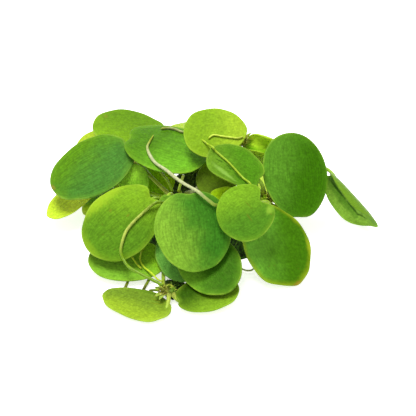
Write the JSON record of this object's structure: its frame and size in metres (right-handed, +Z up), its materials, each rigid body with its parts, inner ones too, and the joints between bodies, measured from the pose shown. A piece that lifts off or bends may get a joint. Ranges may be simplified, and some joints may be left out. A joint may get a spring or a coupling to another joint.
{
  "type": "amazon frogbit",
  "caption": "Handful of amazon frogbit: round spongy floating leaves on short stalks, joined by runners and trailed by roots, lying in a loose heap.",
  "frame": {"origin": "middle of the heap's footprint, on the surface that it rests on", "axes": "+X to the right along the heap's longest side, -Y to the front, +Z up"},
  "size_m": [0.1346, 0.1042, 0.0421],
  "materials": {
    "leaf_green": "waxy mid green leaf, satin and slightly wet",
    "leaf_deep_green": "waxy deep green leaf, satin and slightly wet",
    "leaf_lime": "pale lime leaf underside, spongy and satin",
    "crown_tan": "fibrous yellow-brown stem",
    "runner_olive": "smooth pale olive stem",
    "root_white": "smooth wet white root, yellow at the ends",
    "root_brown": "dark matted feathery roots"
  },
  "bodies": {
    "root": {"crown_front": "crown_tan", "crown_right": "crown_tan", "crown_top": "crown_tan", "crown_centre": "crown_tan", "crown_left": "crown_tan", "crown_back": "crown_tan", "leaf_front_left": "leaf_lime", "leaf_front_low": "leaf_lime", "leaf_under_left": "leaf_green", "leaf_front_right": "leaf_deep_green", "leaf_front_blue": "leaf_deep_green", "leaf_centre": "leaf_green", "leaf_left_front": "leaf_green", "leaf_top_left": "leaf_green", "leaf_small_behind": "leaf_green", "leaf_inner_dark": "leaf_deep_green", "leaf_inner_left": "leaf_lime", "leaf_left_big": "leaf_deep_green", "leaf_back_left": "leaf_green", "leaf_low_left": "leaf_lime", "leaf_behind_left": "leaf_lime", "leaf_left_sliver": "leaf_green", "leaf_small_heart": "leaf_green", "leaf_lower_right": "leaf_green", "leaf_right_round": "leaf_deep_green", "leaf_middle": "leaf_green", "leaf_inner_right": "leaf_lime", "leaf_top_centre": "leaf_lime", "leaf_rolled": "leaf_lime", "leaf_behind_round": "leaf_green", "leaf_under_middle": "leaf_deep_green", "leaf_top_behind": "leaf_lime", "leaf_far_right": "leaf_green", "leaf_back_middle": "leaf_green", "leaf_back_right": "leaf_green", "runner_front": "runner_olive", "runner_top": "runner_olive", "runner_left": "runner_olive", "runner_right": "runner_olive", "runner_back": "runner_olive", "stalk_bare_left": "runner_olive", "stalk_bare_back": "runner_olive", "root_long_white": "root_white", "root_behind_top": "root_white", "root_front_arch": "root_white", "root_front_tip": "root_white", "root_over_middle": "root_white", "root_on_top": "root_white", "root_arc_thin": "root_white", "root_white_left": "root_white", "root_white_right": "root_white", "root_under_left": "root_white", "root_under_middle": "root_white", "root_under_right": "root_white", "roots_front": "root_brown", "roots_centre": "root_brown", "roots_behind": "root_brown", "roots_left": "root_brown", "roots_right": "root_brown", "roots_back": "root_brown"}
  },
  "joints": []
}
